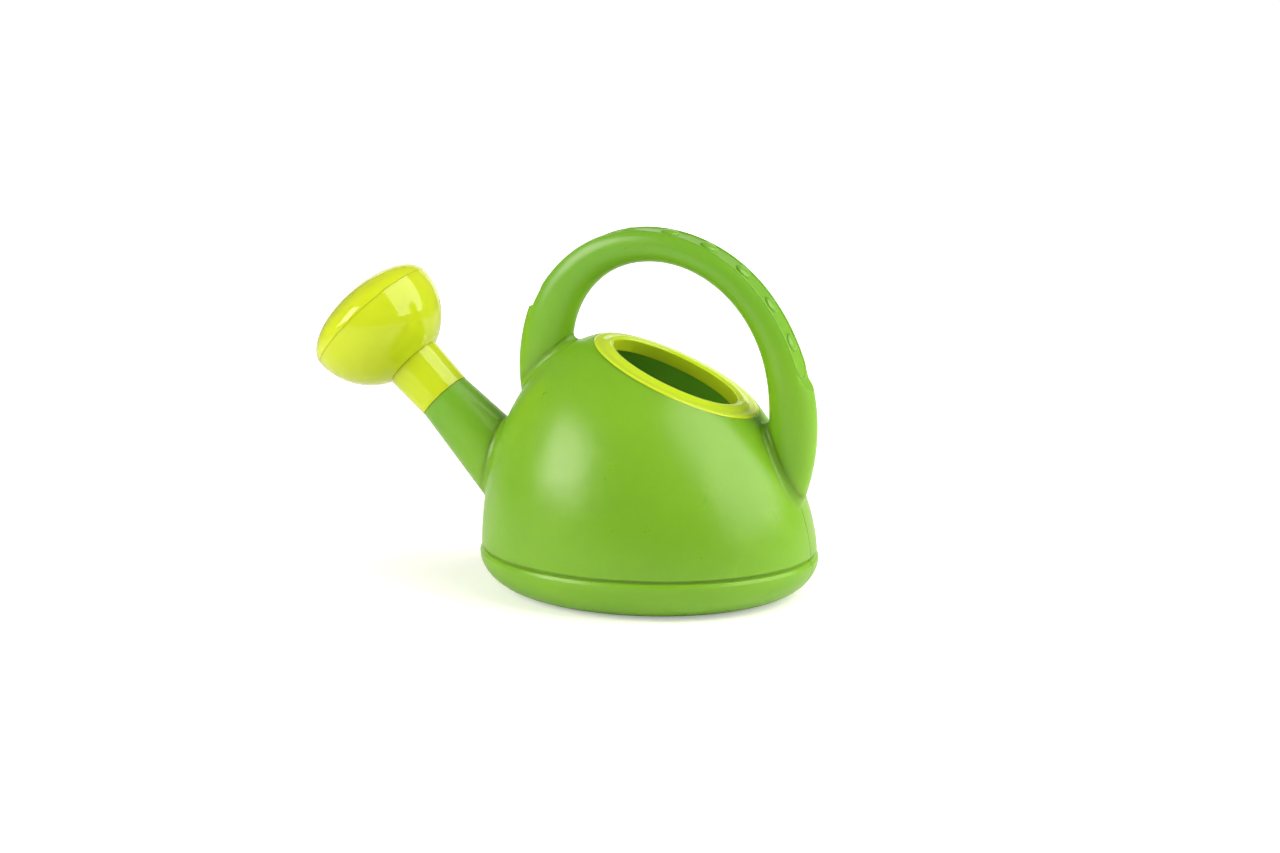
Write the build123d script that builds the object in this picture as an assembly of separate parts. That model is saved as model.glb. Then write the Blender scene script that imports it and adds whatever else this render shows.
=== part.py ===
from build123d import *
import os
from math import cos, radians, sin, sqrt

# Child's watering can, in millimetres. +Z up, the spout points along -X, the
# back of the handle along +X, and the can is symmetric about Y = 0. The origin
# is at the centre of the oval foot, on the ground.

# ---- tank -------------------------------------------------------------------
base_length = 165.0          # oval plan of the tank at the groove
base_width = 143.0
wall = 2.4                   # plastic thickness everywhere in the tank
foot_inset = 24.5            # the bottom rounds inwards this far before the flat foot
foot_trim = 0.15             # the rounding is cut off level this far up, which leaves the foot
lip_height = 18.0            # widest level of the base pan
lip_overhang = 0.9           # how far the lip stands out beyond the shell
groove_floor = 20.0
groove_top = 21.5
groove_depth = 1.2
groove_side = 0.6            # height of the groove's sloping sides
groove_round = 0.35          # broken edge above the groove
lip_tail = 0.2               # the lip still stands out this far where the groove begins
split_height = 20.7          # base pan and shell meet inside the groove
dome_base = 22.3             # the dome curves in from here
dome_top = 125.1             # apex the side profiles aim for, above the mouth
apex_x = -4.6

# side profiles as superellipses: (power of the height, root)
front_curve = (1.87, 2.56)
rear_curve = (1.51, 1.86)
side_curve = (1.96, 1.82)

# ---- filler mouth -----------------------------------------------------------
mouth_centre = (14.2, 105.5)  # x, z
mouth_tilt = 23.2             # degrees, dropping towards the back
ring_length = 87.4            # measured along the slope
ring_width = 69.4
mouth_length = 66.5
mouth_width = 47.0
mouth_shift = -1.2            # the hole sits a little up the slope
ring_collar = 1.8             # wall of the collar that plugs into the mouth
ring_depth = 4.6              # how far the collar reaches below the shell's face
ring_rise = 1.45              # crown of the ring above the shell's face

# the crown's section: (share of the rise, share of the way in to the hole)
ring_crown = [(0.0, 0.0), (0.3, 0.04), (0.58, 0.22), (0.82, 0.52), (1.0, 0.94)]

# ---- handle -----------------------------------------------------------------
handle_half_width = 9.6
# middle of the loop from the spout side to the back: x, z, half thickness
handle_path = [
    (-50.0, 76.0, 13.4),
    (-53.4, 106.0, 13.3),
    (-46.5, 139.5, 11.7),
    (-21.6, 164.2, 10.1),
    (13.6, 168.0, 9.0),
    (45.2, 152.4, 8.9),
    (65.7, 123.3, 9.7),
    (71.0, 106.0, 10.7),
    (72.3, 70.5, 11.5),
    (61.0, 37.0, 10.6),
]
grip_depth = 3.4              # the grip strip is a flat cut this deep in the crown
grip_start = 2                # stations of the loop between which it runs
grip_end = 7
grip_lead = 8.0               # it starts this far before its first station
grip_ramp_front = 12.0        # run of its end slopes, each rising by the front one's run
grip_ramp_back = 20.0
bump_count = 6
bump_first = 64.3             # along the strip from its front end
bump_pitch = 20.4
bump_radius = 4.2
bump_height = 1.3
bump_root = 0.8               # how far a bump reaches into the handle
root_fillet = 3.0
spout_fillet = 4.0
root_reach = 3.5              # the roots stay with the tank this far from its side

# ---- spout and rose ---------------------------------------------------------
spout_angle = 44.0            # degrees above the horizontal
rose_centre = (-145.9, 123.9)  # x, z, centre of the rose's seam
rose_radius = 34.5
bowl_depth = 33.4
face_rise = 15.4
rose_wall = 1.8
collar_end = 53.5             # distance of the collar's open end behind the seam
collar_radius_end = 13.6
collar_radius_bowl = 14.5
spout_radius = 13.4           # at the shoulder against the collar
spout_growth = 0.1            # radius gained per millimetre towards the tank
spout_length = 58.0
spigot_radius = 11.0
spigot_length = 14.0
bore_radius = 11.05           # the collar turns and slides on the spigot
shoulder_gap = 0.3
neck_length = 6.5             # the bowl's neck inside the collar
hole_radius = 0.9
face_disc_radius = 14.0
face_disc_depth = 0.6
hole_rings = [(5.0, 6), (10.0, 12), (18.0, 18)]   # ring radius, number of holes
skirt_length = 4.0            # the face's skirt inside the bowl
skirt_gap = 0.35
seat_inset = 0.8              # step of the face that closes onto the bowl's rim
seat_height = 1.2
seam_groove = 0.3
end_play = 0.1                # the bowl turns against the collar's end

# ---- helpers ----------------------------------------------------------------
beyond = 400.0                # larger than the whole can
overrun = 1.0                 # cutters run past the face they cut by this much
hair = 0.01                   # keeps two nearly equal surfaces from coinciding

os.makedirs("parts", exist_ok=True)

half_length = base_length / 2
half_width = base_width / 2
level_above = (Align.CENTER, Align.CENTER, Align.MIN)
level_below = (Align.CENTER, Align.CENTER, Align.MAX)


def superellipse(t, curve):
    """Share of the base radius left at the relative height t."""
    power, root = curve
    return max(1 - t ** power, 0.0) ** (1 / root)


def oval(plane, along_x, along_y):
    """Filled ellipse with its seam on the +Y side."""
    return plane * (Rot(0, 0, 90) * Ellipse(along_y, along_x))


def dome(inset):
    """Solid dome from the groove up, drawn in by inset on every side."""
    levels = [0.0, 0.08, 0.17, 0.27, 0.38, 0.49, 0.6, 0.7, 0.79, 0.87, 0.93, 0.97, 0.99]
    height = dome_top - inset - dome_base
    sections = []
    for t in levels:
        front = apex_x - (half_length + apex_x - inset) * superellipse(t, front_curve)
        back = apex_x + (half_length - apex_x - inset) * superellipse(t, rear_curve)
        side = (half_width - inset) * superellipse(t, side_curve)
        level = Plane(((front + back) / 2, 0, dome_base + t * height))
        sections.append(oval(level, (back - front) / 2, side))
    return loft(sections)


def pan(inset):
    """Rounded base with lip and groove, up to the bottom of the dome."""
    lip = half_length + lip_overhang - inset
    foot = half_length + lip_overhang - foot_inset
    bottom = inset if inset else -foot_trim
    groove = half_length - groove_depth - inset
    shell = half_length - inset
    with BuildPart() as base:
        with BuildSketch(Plane.XZ):
            with BuildLine():
                rise = lip_height - bottom
                EllipticalCenterArc((foot, lip_height), lip - foot, rise, 270, arc_size=90)
                Polyline(
                    (lip, lip_height),
                    (shell + lip_tail, groove_floor - groove_side),
                    (groove, groove_floor),
                    (groove, groove_top - groove_side),
                    (shell - groove_round, groove_top - groove_side / 2),
                    (shell, groove_top + groove_side / 2),
                    (shell, dome_base),
                    (0, dome_base),
                    (0, bottom),
                    (foot, bottom),
                )
            make_face()
        revolve(axis=Axis.Z)
    ground = Box(beyond, beyond, beyond, align=level_below)
    return scale(base.part, by=(1, (half_width - inset) / shell, 1)) - ground


def mouth_plane(height):
    """Plane parallel to the filler mouth, height above the shell's face."""
    slope = radians(mouth_tilt)
    normal = Vector(sin(slope), 0, cos(slope))
    centre = Vector(mouth_centre[0], 0, mouth_centre[1]) + normal * height
    return Plane(centre, x_dir=(cos(slope), 0, -sin(slope)), z_dir=normal)


def above_mouth(height):
    """Everything above the mouth plane."""
    return mouth_plane(height) * Box(beyond, beyond, beyond, align=level_above)


def loop_stations():
    """Middle points, directions, outward normals and half thicknesses along the loop."""
    points = [Vector(x, 0, z) for x, z, _ in handle_path]
    middle = Spline(*points)
    stations = []
    for point, (_, _, half) in zip(points, handle_path):
        tangent = middle.tangent_at(point)
        outward = Vector(-tangent.Z, 0, tangent.X)
        stations.append((point, tangent, outward, half))
    return stations


def loop(inset):
    """Round handle loop, drawn in by inset."""
    sections = []
    for point, tangent, outward, half in loop_stations():
        plane = Plane(point, x_dir=outward, z_dir=tangent)
        sections.append(oval(plane, half - inset, handle_half_width - inset))
    return loft(sections)


def grip_floor(extra):
    """Outline of the grip strip's floor, extra deeper than its surface."""
    stations = loop_stations()[grip_start:grip_end + 1]
    floor = [point + outward * (half - grip_depth - extra) for point, _, outward, half in stations]
    return [floor[0] - stations[0][1] * grip_lead] + floor


def grip_cut(extra):
    """Wide band of everything outside the strip's floor, with sloping ends."""
    stations = loop_stations()
    floor = grip_floor(extra)
    _, tangent, outward, _ = stations[grip_start]
    front = floor[0] + (outward - tangent) * grip_ramp_front
    _, tangent, outward, _ = stations[grip_end]
    back = floor[-1] + outward * grip_ramp_front + tangent * grip_ramp_back
    with BuildPart() as band:
        with BuildSketch(Plane.XZ):
            with BuildLine():
                inner = Spline(*[(p.X, p.Z) for p in floor])
                Polyline(
                    inner @ 1,
                    (back.X, back.Z),
                    (beyond / 2, back.Z),
                    (beyond / 2, beyond),
                    (-beyond / 2, beyond),
                    (-beyond / 2, front.Z),
                    (front.X, front.Z),
                    inner @ 0,
                )
            make_face()
        extrude(amount=2 * handle_half_width, both=True)
    return band.part


def spout_plane(distance):
    """Plane across the spout, distance behind the rose's seam, facing the rose."""
    slope = radians(spout_angle)
    along = Vector(-cos(slope), 0, sin(slope))
    centre = Vector(rose_centre[0], 0, rose_centre[1]) - along * distance
    return Plane(centre, x_dir=(sin(slope), 0, cos(slope)), z_dir=along)


def spout_cone(inset):
    """Solid spout from its shoulder down into the tank."""
    top = spout_plane(collar_end + shoulder_gap + inset)
    foot = spout_plane(collar_end + shoulder_gap + spout_length)
    start = Rot(0, 0, 90) * Circle(spout_radius - inset)
    end = Rot(0, 0, 90) * Circle(spout_radius + spout_growth * spout_length - inset)
    return loft([foot * end, top * start])


def thumb_bumps():
    """Evenly spaced domes standing on the grip strip."""
    floor = Spline(*grip_floor(0.0))
    ball_radius = (bump_radius ** 2 + bump_height ** 2) / (2 * bump_height)
    ball = Pos(0, 0, bump_height - ball_radius) * Sphere(ball_radius)
    cap = ball & Pos(0, 0, -bump_root) * Box(beyond, beyond, beyond, align=level_above)
    bumps = []
    for i in range(bump_count):
        share = (bump_first + i * bump_pitch) / floor.length
        outward = (floor % share).cross(Vector(0, 1, 0))
        bumps.append(Plane(floor @ share, x_dir=(0, 1, 0), z_dir=outward) * cap)
    return bumps


def moulded_tank():
    """Outer form of the blow-moulded tank, rounded into its handle and spout."""
    handle = loop(0.0)
    body = dome(0.0) - above_mouth(0.0)
    joined = body + handle
    joined = fillet(new_edges(body, handle, combined=joined), root_fillet)
    spout = spout_cone(0.0)
    tank = joined + spout
    tank = fillet(new_edges(joined, spout, combined=tank), spout_fillet)
    tank = tank - grip_cut(0.0)
    for bump in thumb_bumps():
        tank = tank + bump
    return tank + pan(0.0)


def tank_hollow():
    """Space inside the tank, the handle and the spout."""
    hollow = dome(wall) - above_mouth(-wall)
    hollow = hollow + (loop(wall) - grip_cut(wall))
    hollow = hollow + spout_cone(wall) + pan(wall)
    return hollow


def ring_oval(height, share):
    """Oval on the mouth plane, from the ring's edge (0) to its hole (1)."""
    along = (ring_length + share * (mouth_length - ring_length)) / 2
    across = (ring_width + share * (mouth_width - ring_width)) / 2
    return oval(mouth_plane(height) * Pos(share * mouth_shift, 0, 0), along, across)


def mouth_hole(extra, bottom, top):
    """Oval plug along the mouth's axis, extra wider than the hole all round."""
    place = mouth_plane(bottom) * Pos(mouth_shift, 0, 0)
    profile = oval(place, mouth_length / 2 + extra, mouth_width / 2 + extra)
    return extrude(profile, top - bottom, dir=mouth_plane(0.0).z_dir)


def make_filler_ring():
    flange = loft([ring_oval(ring_rise * rise, share) for rise, share in ring_crown])
    collar = mouth_hole(ring_collar, -ring_depth, ring_rise * ring_crown[1][0])
    ring = flange + collar
    return ring - mouth_hole(0.0, -ring_depth - overrun, ring_rise + overrun)


def half_ellipsoid(radius, depth, distance, direction):
    """Half of an ellipsoid on the spout's axis; direction 1 faces the front."""
    with BuildPart() as body:
        with BuildSketch(Plane.XZ):
            with BuildLine():
                if direction > 0:
                    EllipticalCenterArc((0, 0), radius, depth, 0, arc_size=90)
                else:
                    EllipticalCenterArc((0, 0), radius, depth, 270, arc_size=90)
                Line((0, 0), (radius, 0))
                Line((0, 0), (0, direction * depth))
            make_face()
        revolve(axis=Axis.Z)
    return spout_plane(distance) * body.part


def rod(radius, near, far):
    """Cylinder on the spout's axis between two distances behind the seam."""
    return spout_plane(far) * Cylinder(radius, far - near, align=level_above)


def bowl_end():
    """Distance behind the seam where the bowl is as wide as its collar."""
    return bowl_depth * sqrt(1 - (collar_radius_bowl / rose_radius) ** 2)


def make_rose_bowl():
    end = bowl_end()
    outer = half_ellipsoid(rose_radius, bowl_depth, 0.0, -1)
    inner = half_ellipsoid(rose_radius - rose_wall, bowl_depth - rose_wall, 0.0, -1)
    bowl = outer - rod(rose_radius, end, bowl_depth + overrun)
    bowl = bowl - (inner - rod(rose_radius, end - rose_wall, bowl_depth + overrun))
    bowl = bowl + rod(spigot_radius, end - rose_wall, end + neck_length)
    bowl = bowl - rod(spigot_radius - rose_wall, end - 2 * rose_wall, end + neck_length + overrun)
    seam_edge = bowl.edges().sort_by(Edge.length)[-1:]
    return chamfer(seam_edge, seam_groove)


def make_rose_collar():
    near = bowl_end() + end_play
    top = spout_plane(near) * Circle(collar_radius_bowl)
    bottom = spout_plane(collar_end) * Circle(collar_radius_end)
    sleeve = loft([bottom, top])
    return sleeve - rod(bore_radius, near - overrun, collar_end + overrun)


def hole_places():
    """Centres of the sprinkler holes, in rings around the middle of the face."""
    places = [(0.0, 0.0)]
    for ring_radius, count in hole_rings:
        for i in range(count):
            angle = radians(360 * i / count)
            places.append((ring_radius * cos(angle), ring_radius * sin(angle)))
    return places


def make_rose_face():
    outer = half_ellipsoid(rose_radius, face_rise, 0.0, 1)
    inner = half_ellipsoid(rose_radius - rose_wall, face_rise - rose_wall, 0.0, 1)
    cap = outer - inner
    recess = outer - half_ellipsoid(rose_radius - hair, face_rise, face_disc_depth, 1)
    cap = cap - (recess & rod(face_disc_radius, -face_rise - overrun, 0.0))
    hollow = rod(rose_radius - 2 * rose_wall, -2 * seat_height, skirt_length + overrun)
    skirt = rod(rose_radius - rose_wall - skirt_gap, 0.0, skirt_length) - hollow
    seat = rod(rose_radius - seat_inset, -seat_height, 0.0) - hollow
    cap = cap + (seat & outer) + skirt
    for across, up in hole_places():
        hole = Pos(across, up, 0) * Cylinder(hole_radius, 3 * face_rise)
        cap = cap - spout_plane(0.0) * hole
    seam_edge = cap.edges().filter_by(GeomType.CIRCLE).sort_by(SortBy.RADIUS)[-1:]
    return chamfer(seam_edge, seam_groove)


def make_tank_parts():
    """Tank shell, base pan, handle and spout, cut apart along clean faces."""
    tank = moulded_tank()
    shoulder = collar_end + shoulder_gap
    tank = tank + rod(spigot_radius, shoulder - spigot_length, shoulder + wall)
    tank = tank - tank_hollow()
    tank = tank - rod(spigot_radius - wall, shoulder - spigot_length - overrun, shoulder + 2 * wall)
    tank = tank - mouth_hole(ring_collar, -2 * wall, wall)
    below = Pos(0, 0, split_height) * Box(beyond, beyond, beyond, align=level_below)
    base_pan = tank & below
    upper = tank - below
    region = dome(-root_reach) + Pos(0, 0, dome_base) * Box(beyond, beyond, beyond, align=level_below)
    body_shell = upper & region
    spout, handle = (upper - region).solids().sort_by(Axis.X)
    return body_shell, base_pan, handle, spout


def write(name, shape):
    """Writes one piece and prints its volume and size."""
    export_step(shape, f"parts/{name}.step")
    box = shape.bounding_box()
    print(f"{name}: volume {shape.volume / 1000:.1f} cm3, {len(shape.solids())} solid, size {box.size}")


body_shell, base_pan, handle, spout = make_tank_parts()
write("body_shell", body_shell)
write("base_pan", base_pan)
write("handle", handle)
write("spout", spout)
write("filler_ring", make_filler_ring())
write("rose_collar", make_rose_collar())
write("rose_bowl", make_rose_bowl())
write("rose_face", make_rose_face())
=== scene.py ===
"""Looks and studio for the toy watering can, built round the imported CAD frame."""

import math

import bpy
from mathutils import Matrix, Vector
from mathutils.bvhtree import BVHTree


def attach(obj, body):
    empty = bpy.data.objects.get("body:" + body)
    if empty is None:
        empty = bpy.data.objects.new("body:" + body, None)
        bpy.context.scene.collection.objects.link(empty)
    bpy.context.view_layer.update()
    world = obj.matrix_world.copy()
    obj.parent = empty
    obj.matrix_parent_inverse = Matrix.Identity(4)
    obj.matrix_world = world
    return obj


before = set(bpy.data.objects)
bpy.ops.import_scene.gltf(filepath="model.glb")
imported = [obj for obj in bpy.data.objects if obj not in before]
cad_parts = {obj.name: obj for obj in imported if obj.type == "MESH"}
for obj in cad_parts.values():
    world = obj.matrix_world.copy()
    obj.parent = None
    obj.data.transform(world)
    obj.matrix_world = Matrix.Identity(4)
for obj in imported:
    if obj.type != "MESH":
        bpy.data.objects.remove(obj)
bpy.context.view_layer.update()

# Colours are linear RGB.
TANK_GREEN = (0.215, 0.470, 0.020)
TANK_GREEN_DEEP = (0.190, 0.430, 0.018)
# Deeper green for the handle and spout: painted shade for the light that doesn't come through
# their thicker plastic.
LIMB_GREEN_PAINTED_SHADE = (0.160, 0.405, 0.022)
LIME = (0.600, 0.725, 0.018)
LIME_DEEP = (0.575, 0.700, 0.017)
# The filler ring's lime is greener than the rose's: painted green bounce light from the tank.
RING_LIME_PAINTED_BOUNCE = (0.600, 0.790, 0.022)
RING_LIME_DEEP_PAINTED_BOUNCE = (0.580, 0.765, 0.021)
WARM_LIGHT = (1.0, 0.94, 0.84)
SPECK = (0.055, 0.110, 0.010)
FLOOR_WHITE = (0.93, 0.93, 0.93)

TANK_NODES = ("body_shell", "base_pan", "handle", "spout")
ROSE_NODES = ("rose_collar", "rose_bowl", "rose_face")

# Lengths are in metres. Places on the handle's grip strip are found by their angle, in
# degrees, round the middle of the loop.
LOOP_MIDDLE = Vector((0.008, 0.0, 0.108))
STRIP_RADIUS = 0.066
OUTSIDE = 0.2                   # further out than the whole can
ACROSS = Vector((0.0, 1.0, 0.0))

# The CAD's six thumb bumps, from the front: angle, and height that stays inside the can's box.
THUMBS = (
    (104.7, 0.00115),
    (87.5, 0.00142),
    (69.6, 0.0017),
    (51.3, 0.0017),
    (32.9, 0.0017),
    (15.0, 0.0017),
)
THUMB_RADIUS = 0.0044
THUMB_ROOT = 0.0004             # depth of a button below the strip
THUMB_PROBE = 0.00603           # the strip is flat this far from its middle, clear of the bumps

RIM_ANGLES = (146.0, 6.0)
RIM_HALF_WIDTH = 0.0067
RIM_RADIUS = 0.00055
SEAM_HEIGHTS = (0.046, 0.006)
SEAM_RADIUS = 0.00016

TANK_MIDDLE = (0.0, 0.0, 0.05)  # the thin-walled tank ends about 0.1 from here
MIX_FIRST, MIX_SECOND, MIX_RESULT = 6, 7, 2     # colour sockets of the Mix node


def new_material(name):
    """An empty node material, with its Principled shader and its object-space coordinates."""
    material = bpy.data.materials.new(name)
    material.use_nodes = True
    tree = material.node_tree
    shader = tree.nodes["Principled BSDF"]
    place = tree.nodes.new("ShaderNodeTexCoord")
    return material, tree, shader, place.outputs["Object"]


def noise(tree, place, scale, detail=3.0, roughness=0.5):
    """A noise texture with so many features per metre."""
    node = tree.nodes.new("ShaderNodeTexNoise")
    node.inputs["Scale"].default_value = scale
    node.inputs["Detail"].default_value = detail
    node.inputs["Roughness"].default_value = roughness
    tree.links.new(place, node.inputs["Vector"])
    return node.outputs["Fac"]


def ramp(tree, value, low, high, to_low, to_high):
    """Maps value from low..high to to_low..to_high, clamped."""
    node = tree.nodes.new("ShaderNodeMapRange")
    node.inputs["From Min"].default_value = low
    node.inputs["From Max"].default_value = high
    node.inputs["To Min"].default_value = to_low
    node.inputs["To Max"].default_value = to_high
    tree.links.new(value, node.inputs["Value"])
    return node.outputs["Result"]


def mix_colour(tree, factor, first, second):
    """Mixes two colours; either is a colour or a socket."""
    node = tree.nodes.new("ShaderNodeMix")
    node.data_type = "RGBA"
    tree.links.new(factor, node.inputs["Factor"])
    for socket, colour in ((MIX_FIRST, first), (MIX_SECOND, second)):
        if isinstance(colour, tuple):
            node.inputs[socket].default_value = (*colour, 1.0)
        else:
            tree.links.new(colour, node.inputs[socket])
    return node.outputs[MIX_RESULT]


def calculate(tree, operation, first, second):
    """A math node of a socket with a number or another socket."""
    node = tree.nodes.new("ShaderNodeMath")
    node.operation = operation
    tree.links.new(first, node.inputs[0])
    if isinstance(second, float):
        node.inputs[1].default_value = second
    else:
        tree.links.new(second, node.inputs[1])
    return node.outputs[0]


def distance_from(tree, place, point):
    """How far each place is from a point, in metres."""
    node = tree.nodes.new("ShaderNodeVectorMath")
    node.operation = "DISTANCE"
    node.inputs[1].default_value = point
    tree.links.new(place, node.inputs[0])
    return node.outputs["Value"]


def add_bumps(tree, shader, layers):
    """Chains bump nodes, each (height socket, depth in metres), into the shader's normal."""
    normal = None
    for height, depth in layers:
        node = tree.nodes.new("ShaderNodeBump")
        node.inputs["Strength"].default_value = 1.0
        node.inputs["Distance"].default_value = depth
        tree.links.new(height, node.inputs["Height"])
        if normal:
            tree.links.new(normal, node.inputs["Normal"])
        normal = node.outputs["Normal"]
    tree.links.new(normal, shader.inputs["Normal"])


def specks(tree, place, per_metre, size, share):
    """Sparse round specks: 1 on a speck and 0 elsewhere, in a share of the texture's cells."""
    core = 0.6 * size
    cells = tree.nodes.new("ShaderNodeTexVoronoi")
    cells.inputs["Scale"].default_value = per_metre
    cells.inputs["Randomness"].default_value = 1.0
    tree.links.new(place, cells.inputs["Vector"])
    near = ramp(tree, cells.outputs["Distance"], core, size, 1.0, 0.0)
    pick = tree.nodes.new("ShaderNodeSeparateColor")
    tree.links.new(cells.outputs["Color"], pick.inputs["Color"])
    chosen = calculate(tree, "LESS_THAN", pick.outputs["Red"], share)
    return calculate(tree, "MULTIPLY", near, chosen)


def set_clear_depth(shader, scale):
    """Finish that both plastics share, and how deep light reaches into this one."""
    shader.inputs["IOR"].default_value = 1.5
    shader.inputs["Specular IOR Level"].default_value = 0.42
    shader.inputs["Subsurface Radius"].default_value = (1.0, 1.0, 1.0)
    shader.inputs["Subsurface Scale"].default_value = scale


def tank_plastic():
    """Satin blow-moulded polyethylene: orange peel, faint flow marks and a few dark specks.

    Light comes through the thin walls of the tank but not far into the handle and spout,
    whose deeper green is painted shade standing in for the light that doesn't come through them.
    """
    material, tree, shader, place = new_material("tank_plastic")
    out = distance_from(tree, place, TANK_MIDDLE)

    flow = ramp(tree, noise(tree, place, 14.0), 0.35, 0.65, 0.0, 1.0)
    base = mix_colour(tree, flow, TANK_GREEN, TANK_GREEN_DEEP)
    # Further than about 0.1 from the tank's middle, the handle and spout turn deeper green:
    # painted shade.
    base = mix_colour(tree, ramp(tree, out, 0.085, 0.110, 0.0, 1.0), base, LIMB_GREEN_PAINTED_SHADE)
    dots = specks(tree, place, per_metre=110.0, size=0.035, share=0.25)
    tree.links.new(mix_colour(tree, dots, base, SPECK), shader.inputs["Base Color"])

    worn = noise(tree, place, 60.0, detail=5.0, roughness=0.6)
    tree.links.new(ramp(tree, worn, 0.3, 0.7, 0.27, 0.34), shader.inputs["Roughness"])

    waves = noise(tree, place, 70.0, detail=1.0)
    peel = noise(tree, place, 900.0, detail=2.0)
    add_bumps(tree, shader, ((waves, 0.00008), (peel, 0.00003)))

    thin = ramp(tree, out, 0.080, 0.098, 0.9, 0.15)
    tree.links.new(thin, shader.inputs["Subsurface Weight"])
    set_clear_depth(shader, 0.008)
    return material


def trim_plastic(name, light, deep, glow_depth):
    """Glossy injection-moulded plastic with a faint haze; light reaches glow_depth into it."""
    material, tree, shader, place = new_material(name)

    flow = ramp(tree, noise(tree, place, 22.0), 0.35, 0.65, 0.0, 1.0)
    tree.links.new(mix_colour(tree, flow, light, deep), shader.inputs["Base Color"])

    worn = noise(tree, place, 160.0, detail=6.0, roughness=0.65)
    tree.links.new(ramp(tree, worn, 0.3, 0.75, 0.05, 0.11), shader.inputs["Roughness"])

    waves = noise(tree, place, 45.0, detail=1.0)
    add_bumps(tree, shader, ((waves, 0.00004),))

    shader.inputs["Subsurface Weight"].default_value = 0.8
    set_clear_depth(shader, glow_depth)
    return material


def use_material(node, material):
    """Gives a CAD node one material."""
    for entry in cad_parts[node].material_slots:
        entry.material = material


def surface_of(*nodes):
    """One search tree of the faces of some CAD nodes."""
    vertices, faces = [], []
    for node in nodes:
        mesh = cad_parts[node].data
        base = len(vertices)
        vertices += [v.co for v in mesh.vertices]
        faces += [tuple(base + i for i in face.vertices) for face in mesh.polygons]
    return BVHTree.FromPolygons(vertices, faces)


def strip_point(surface, angle, across):
    """The place and outward direction on the grip strip at that angle, across from its middle."""
    turn = math.radians(angle)
    out = Vector((math.cos(turn), 0.0, math.sin(turn)))
    start = LOOP_MIDDLE + out * OUTSIDE + ACROSS * across
    place, normal, _, _ = surface.ray_cast(start, -out)
    return place, normal


def new_piece(name, vertices, faces, material):
    """A smooth green piece that stays with the tank."""
    mesh = bpy.data.meshes.new(name)
    mesh.from_pydata(vertices, [], faces)
    mesh.polygons.foreach_set("use_smooth", [True] * len(faces))
    mesh.materials.append(material)
    piece = bpy.data.objects.new(name, mesh)
    bpy.context.collection.objects.link(piece)
    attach(piece, "tank")


def make_thumb_button(name, surface, angle, height, material):
    """A steep-sided round button over one of the strip's bumps."""
    around, rings = 48, 12
    place, normal = strip_point(surface, angle, THUMB_PROBE)
    place.y = 0.0
    ahead = ACROSS.cross(normal)
    vertices = [place + normal * height]
    for j in range(1, rings + 1):
        lean = math.radians(90.0) * j / rings
        centre = place + normal * (height * math.cos(lean))
        radius = THUMB_RADIUS * math.sin(lean)
        for i in range(around):
            turn = math.tau * i / around
            spoke = ahead * math.cos(turn) + ACROSS * math.sin(turn)
            vertices.append(centre + spoke * radius)
    vertices += [v - normal * THUMB_ROOT for v in vertices[-around:]]
    faces = [(0, 1 + i, 1 + (i + 1) % around) for i in range(around)]
    for j in range(rings):
        low, high = 1 + j * around, 1 + (j + 1) * around
        for i in range(around):
            k = (i + 1) % around
            faces.append((low + i, high + i, high + k, low + k))
    last = len(vertices) - 1
    faces.append(tuple(range(last, last - around, -1)))
    new_piece(name, vertices, faces, material)


def make_bead(name, points, radius, closed, material):
    """A thin round bead along places on a surface, each given with its normal.

    A closed bead is a ring; an open one has a flat cap at each end.
    """
    around = 8
    count = len(points)
    vertices = []
    for i, (place, normal) in enumerate(points):
        ahead = points[(i + 1) % count][0] if closed or i + 1 < count else place
        behind = points[i - 1][0] if closed or i else place
        tangent = (ahead - behind).normalized()
        side = tangent.cross(normal).normalized()
        for j in range(around):
            turn = math.tau * j / around
            spoke = normal * math.cos(turn) + side * math.sin(turn)
            vertices.append(place + spoke * radius)
    faces = []
    for i in range(count if closed else count - 1):
        k = (i + 1) % count
        for j in range(around):
            m = (j + 1) % around
            faces.append((i * around + j, i * around + m, k * around + m, k * around + j))
    if not closed:
        faces.append(tuple(range(around - 1, -1, -1)))
        faces.append(tuple(range((count - 1) * around, count * around)))
    new_piece(name, vertices, faces, material)


def make_grip_rim(surface, material):
    """A raised bead round the grip strip, with rounded ends."""
    along, end = 90, 14
    first, last = RIM_ANGLES
    bulge = math.degrees(RIM_HALF_WIDTH / STRIP_RADIUS)
    route = []
    for side, start, stop in ((1.0, first, last), (-1.0, last, first)):
        for i in range(along):
            route.append((start + (stop - start) * i / along, side * RIM_HALF_WIDTH))
        for i in range(end):
            turn = math.pi * i / end
            angle = stop - side * bulge * math.sin(turn)
            route.append((angle, side * RIM_HALF_WIDTH * math.cos(turn)))
    points = [strip_point(surface, angle, across) for angle, across in route]
    make_bead("grip_rim", points, RIM_RADIUS, True, material)


def make_parting_line(surface, material):
    """The mould's parting line down the back of the tank, over the groove and the lip."""
    steps = 120
    top, bottom = SEAM_HEIGHTS
    points = []
    for i in range(steps + 1):
        start = Vector((OUTSIDE, 0.0, top + (bottom - top) * i / steps))
        place, normal, _, _ = surface.ray_cast(start, Vector((-1.0, 0.0, 0.0)))
        points.append((place, normal))
    make_bead("parting_line", points, SEAM_RADIUS, False, material)


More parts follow.
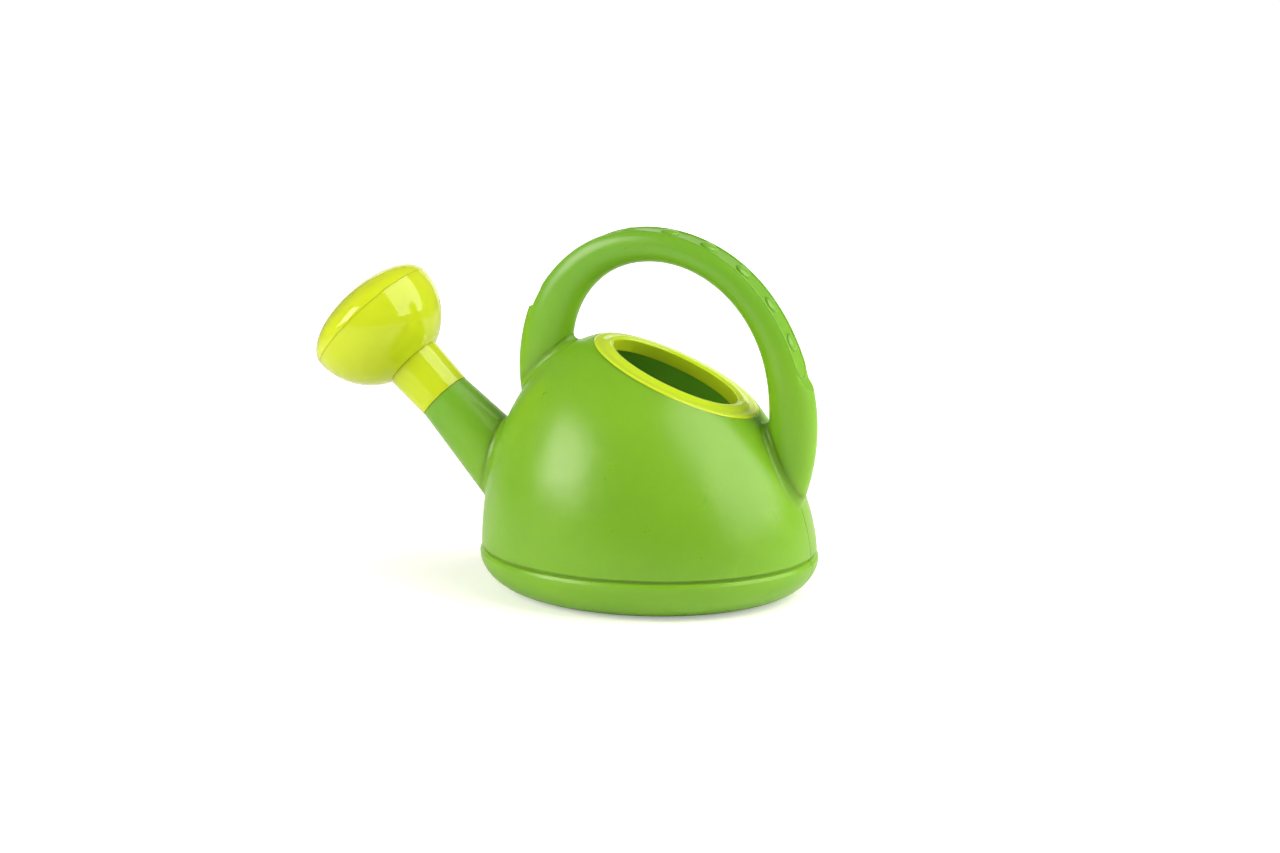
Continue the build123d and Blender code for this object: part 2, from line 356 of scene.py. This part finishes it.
def make_floor():
    """A pale sweep: floor, round cove and wall in one sheet, far larger than the object.

    It glows only to the camera, more with distance, so that it stays white round the object
    without lighting it.
    """
    reach, wall, cove, steps = 20.0, 6.0, 1.5, 16
    profile = [(-reach, 0.0), (reach - cove, 0.0)]
    for i in range(1, steps + 1):
        turn = math.radians(90.0) * i / steps
        profile.append((reach - cove + cove * math.sin(turn), cove - cove * math.cos(turn)))
    profile.append((reach, wall))
    vertices = [(x, y, z) for x in (-reach, reach) for y, z in profile]
    count = len(profile)
    faces = [(i, i + count, i + count + 1, i + 1) for i in range(count - 1)]
    mesh = bpy.data.meshes.new("floor")
    mesh.from_pydata(vertices, [], faces)
    mesh.polygons.foreach_set("use_smooth", [True] * len(faces))
    floor = bpy.data.objects.new("floor", mesh)
    bpy.context.collection.objects.link(floor)
    material, tree, shader, place = new_material("floor_paper")
    shader.inputs["Base Color"].default_value = (*FLOOR_WHITE, 1.0)
    shader.inputs["Roughness"].default_value = 0.9
    shader.inputs["Specular IOR Level"].default_value = 0.1
    glow = ramp(tree, distance_from(tree, place, (0.0, 0.0, 0.0)), 0.2, 1.3, 0.35, 1.0)
    rays = tree.nodes.new("ShaderNodeLightPath")
    seen = calculate(tree, "MULTIPLY", glow, rays.outputs["Is Camera Ray"])
    tree.links.new(seen, shader.inputs["Emission Strength"])
    shader.inputs["Emission Color"].default_value = (1.0, 1.0, 1.0, 1.0)
    mesh.materials.append(material)


def direction(azimuth, elevation):
    """The direction from the object towards a place at that azimuth and elevation, in degrees."""
    a, e = math.radians(azimuth), math.radians(elevation)
    return Vector((math.sin(a) * math.cos(e), -math.cos(a) * math.cos(e), math.sin(e)))


def make_softbox(name, azimuth, elevation, distance, size, power, target):
    """A rectangular soft light that faces the target, hidden from the camera."""
    data = bpy.data.lights.new(name, "AREA")
    data.shape = "RECTANGLE"
    data.size, data.size_y = size
    data.energy = power
    data.color = WARM_LIGHT
    light = bpy.data.objects.new(name, data)
    bpy.context.collection.objects.link(light)
    away = direction(azimuth, elevation)
    light.location = target + away * distance
    light.rotation_mode = "QUATERNION"
    light.rotation_quaternion = away.to_track_quat("Z", "Y")
    light.visible_camera = False


def make_world(level):
    """An even white surround."""
    world = bpy.data.worlds.new("surround")
    bpy.context.scene.world = world
    world.use_nodes = True
    back = world.node_tree.nodes["Background"]
    back.inputs["Color"].default_value = (1.0, 1.0, 1.0, 1.0)
    back.inputs["Strength"].default_value = level


def make_camera(azimuth, elevation, distance, lens, target):
    """The scene's camera, looking at the target."""
    data = bpy.data.cameras.new("camera")
    data.lens = lens
    data.sensor_width = 36.0
    data.clip_start, data.clip_end = 0.05, 50.0
    camera = bpy.data.objects.new("camera", data)
    bpy.context.collection.objects.link(camera)
    back = direction(azimuth, elevation)
    camera.location = target + back * distance
    camera.rotation_mode = "QUATERNION"
    camera.rotation_quaternion = back.to_track_quat("Z", "Y")
    bpy.context.scene.camera = camera


green = tank_plastic()
lime = trim_plastic("trim_plastic", LIME, LIME_DEEP, 0.004)
# The filler ring's greener lime is painted green bounce light from the tank.
ring_lime_painted_bounce = trim_plastic("ring_plastic_painted_bounce", RING_LIME_PAINTED_BOUNCE, RING_LIME_DEEP_PAINTED_BOUNCE, 0.001)
for node in TANK_NODES:
    use_material(node, green)
for node in ROSE_NODES:
    use_material(node, lime)
use_material("filler_ring", ring_lime_painted_bounce)

handle_surface = surface_of("handle")
for number, (angle, height) in enumerate(THUMBS, 1):
    make_thumb_button(f"thumb_button_{number}", handle_surface, angle, height, green)
make_grip_rim(handle_surface, green)
make_parting_line(surface_of("body_shell", "base_pan"), green)

middle = Vector((-0.0045, 0.0, 0.079))
make_floor()
make_world(0.20)
# name, azimuth, elevation, distance, size, power
for light in (
    ("key_left", -46.0, 24.0, 0.95, (0.54, 0.50), 6.8),
    ("key_right", 95.0, 38.0, 1.0, (1.15, 1.15), 16.5),
    ("backdrop", 200.0, 8.0, 1.5, (1.2, 0.8), 3.0),
):
    make_softbox(*light, middle)
make_camera(azimuth=20.59, elevation=12.03, distance=1.5, lens=87.41, target=middle)
bpy.context.scene.view_settings.view_transform = "Standard"
